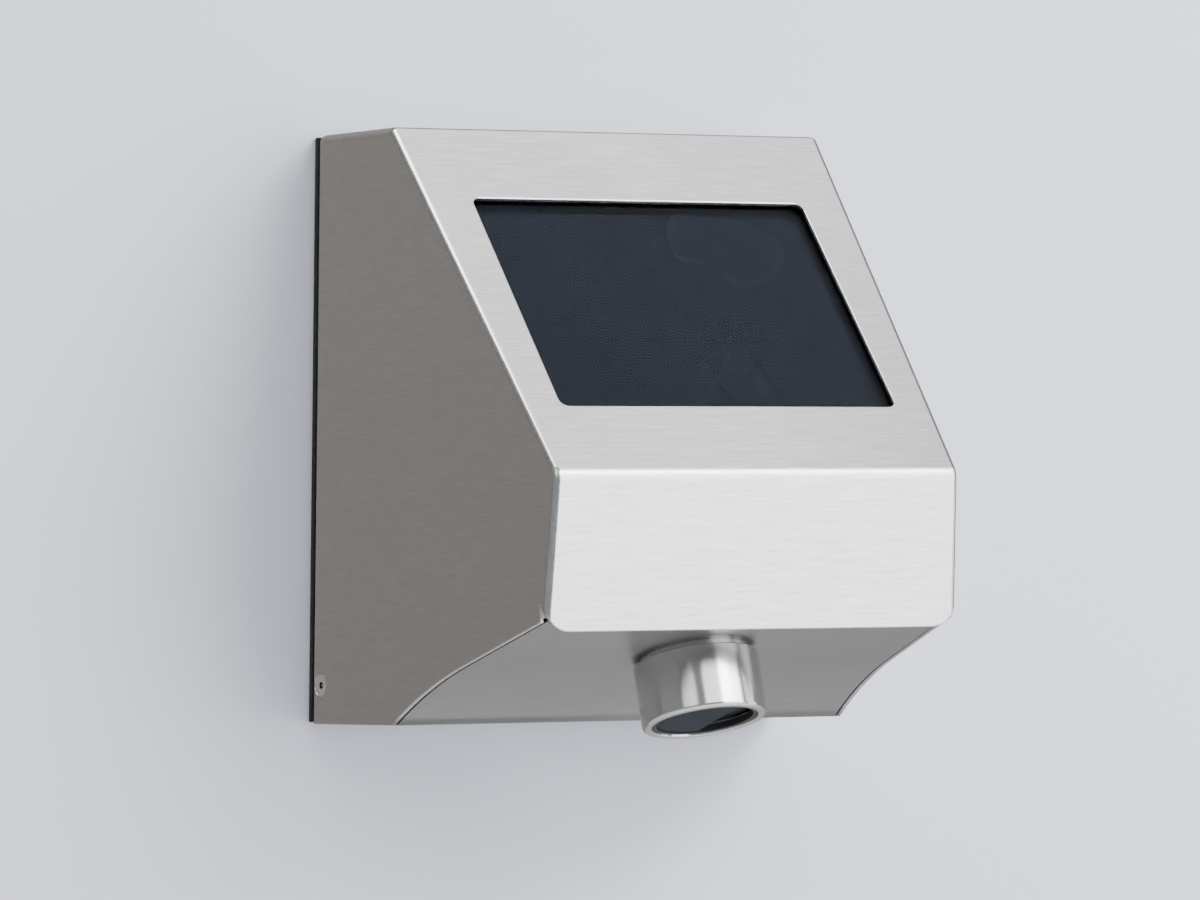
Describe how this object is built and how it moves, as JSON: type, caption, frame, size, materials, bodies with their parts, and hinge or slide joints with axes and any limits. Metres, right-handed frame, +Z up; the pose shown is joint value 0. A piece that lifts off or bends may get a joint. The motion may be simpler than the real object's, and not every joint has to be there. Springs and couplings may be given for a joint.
{
  "type": "wall-mounted ticket vending machine",
  "caption": "Wedge-shaped brushed stainless ticket machine for a wall, with a sloping touch display and a round leaning ticket spout under its face.",
  "frame": {"origin": "centre of the four wall fixing holes, on the wall plate's back face, which lies on the wall", "axes": "+Z up, +X to the viewer's right, front of the machine towards -Y, +Y into the wall"},
  "size_m": [0.236, 0.1996, 0.2671],
  "materials": {
    "brushed_stainless": "brushed",
    "polished_stainless": "fine satin, nearly polished",
    "screw_steel": "machined",
    "zinc_steel": "zinc plated",
    "foam_rubber": "matt closed-cell foam",
    "black_rubber": "matt",
    "display_glass": "gloss",
    "display_panel": "dark, switched off",
    "smoked_guard": "smoked, gloss",
    "black_plastic": "moulded",
    "supply_case": "perforated sheet",
    "terminal_plastic": "moulded",
    "board": "solder mask",
    "connector_plastic": "moulded",
    "aluminium": "machined",
    "brass_parts": "turned",
    "motor_case": "satin black",
    "cutter_steel": "ground",
    "print_ceramic": "glazed ceramic",
    "ticket_paper": "thermal paper",
    "card": "wound card"
  },
  "bodies": {
    "base": {"wall_gasket": "foam_rubber", "wall_plate": "zinc_steel", "hinge_brackets": "zinc_steel", "screw_brackets": "zinc_steel", "cable_grommet": "black_rubber", "power_supply": "supply_case", "supply_screws": "screw_steel", "terminal_block": "terminal_plastic", "earth_stud": "screw_steel", "tamper_switch": "black_plastic", "roll_bracket": "zinc_steel", "roll_spindle": "screw_steel", "paper_sensor": "black_plastic", "printer_frame": "zinc_steel", "platen_bushes": "brass_parts", "stepper_motor": "motor_case", "motor_posts": "zinc_steel", "head_pivot": "screw_steel", "cutter_frame": "cutter_steel", "cutter_motor": "motor_case", "printer_bracket": "zinc_steel", "bracket_screws": "screw_steel"},
    "hood": {"hood_shell": "brushed_stainless", "hinge_ears": "zinc_steel", "hinge_pin": "screw_steel", "underside_panel": "brushed_stainless", "panel_studs": "screw_steel", "panel_nuts": "screw_steel", "security_screws": "screw_steel", "clamp_nuts": "screw_steel", "display_seal": "foam_rubber", "cover_glass": "display_glass", "lcd_panel": "display_panel", "display_studs": "screw_steel", "display_tray": "zinc_steel", "tray_nuts": "screw_steel", "board_posts": "brass_parts", "controller_board": "board", "board_screws": "screw_steel", "heat_sink": "aluminium", "board_connectors": "connector_plastic", "spout_tube": "polished_stainless", "ticket_chute": "black_plastic"},
    "spout_head": {"spout_collar": "polished_stainless", "collar_ring": "black_rubber", "guard_ring": "black_plastic", "guard_plate": "smoked_guard", "flap_pin": "screw_steel", "flap_spring": "screw_steel"},
    "flap": {"ticket_flap": "black_plastic"},
    "paper": {"ticket_roll": "ticket_paper", "roll_core": "card"},
    "platen": {"platen_shaft": "screw_steel", "platen_rubber": "black_rubber", "shaft_coupling": "aluminium", "motor_shaft": "screw_steel"},
    "head": {"head_carrier": "zinc_steel", "print_head": "print_ceramic"},
    "blade": {"cutter_blade": "cutter_steel"}
  },
  "joints": [
    {"name": "hood_hinge", "type": "hinge", "parent": "base", "child": "hood", "pos_m": [0, -0.02, 0.1238], "axis": [-1, 0, 0], "range_deg": [0, 70]},
    {"name": "spout_swivel", "type": "hinge", "parent": "hood", "child": "spout_head", "pos_m": [0, -0.1488, -0.1297], "axis": [0, 0.2867, 0.958], "range_deg": [-90, 90]},
    {"name": "flap_hinge", "type": "hinge", "parent": "spout_head", "child": "flap", "pos_m": [0.0072, -0.14725, -0.12453], "axis": [0, 0.958, -0.2867], "range_deg": [0, 70], "stiffness_Nm_per_rad": 0.0004, "springref_deg": -45.84},
    {"name": "roll_spin", "type": "hinge", "parent": "base", "child": "paper", "pos_m": [0, -0.045, 0.055], "axis": [1, 0, 0], "continuous": true},
    {"name": "platen_spin", "type": "hinge", "parent": "base", "child": "platen", "pos_m": [0, -0.12, -0.031], "axis": [1, 0, 0], "continuous": true},
    {"name": "head_lift", "type": "hinge", "parent": "base", "child": "head", "pos_m": [0, -0.12835, -0.018], "axis": [-1, 0, 0], "range_deg": [0, 12], "stiffness_Nm_per_rad": 0.3, "springref_deg": -5.73},
    {"name": "blade_slide", "type": "slide", "parent": "base", "child": "blade", "axis": [0, -1, 0], "range_m": [0, 0.007]}
  ],
  "couplings": [
    {"joint": "platen_spin", "follows": "roll_spin", "ratio": 4.6667}
  ]
}
